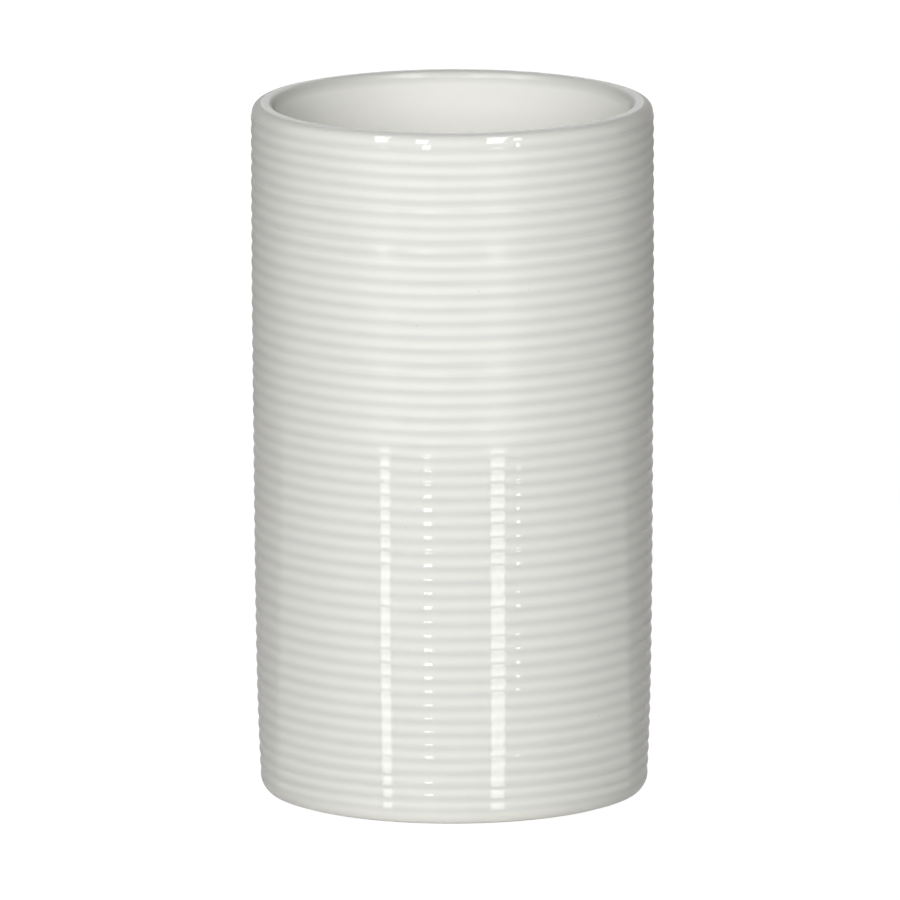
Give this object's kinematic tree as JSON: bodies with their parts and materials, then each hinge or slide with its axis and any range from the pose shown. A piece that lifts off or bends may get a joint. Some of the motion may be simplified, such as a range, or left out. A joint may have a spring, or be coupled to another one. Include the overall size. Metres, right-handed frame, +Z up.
{
  "type": "bathroom tumbler",
  "caption": "White glazed ceramic bathroom tumbler: fine horizontal ridges outside, smooth inside, rounded lip, and a foot ring that holds an anti-slip disc.",
  "frame": {"origin": "centre of the underside of the anti-slip disc, on the surface that the tumbler stands on", "axes": "+Z up along the axis of the cup, out of its mouth; X and Y lie on the standing surface"},
  "size_m": [0.066, 0.066, 0.1147],
  "materials": {
    "clay": "bare fired clay, fine matt grain",
    "outer_glaze": "glossy white glaze, thinner and greyer on the ridges",
    "liner_glaze": "glossy white glaze, smooth",
    "disc_rubber": "soft matt grey rubber",
    "adhesive_film": "milky sticky film"
  },
  "bodies": {
    "root": {"ceramic_body": "clay", "outer_glaze": "outer_glaze", "liner_glaze": "liner_glaze", "anti_slip_disc": "disc_rubber", "disc_adhesive": "adhesive_film"}
  },
  "joints": []
}
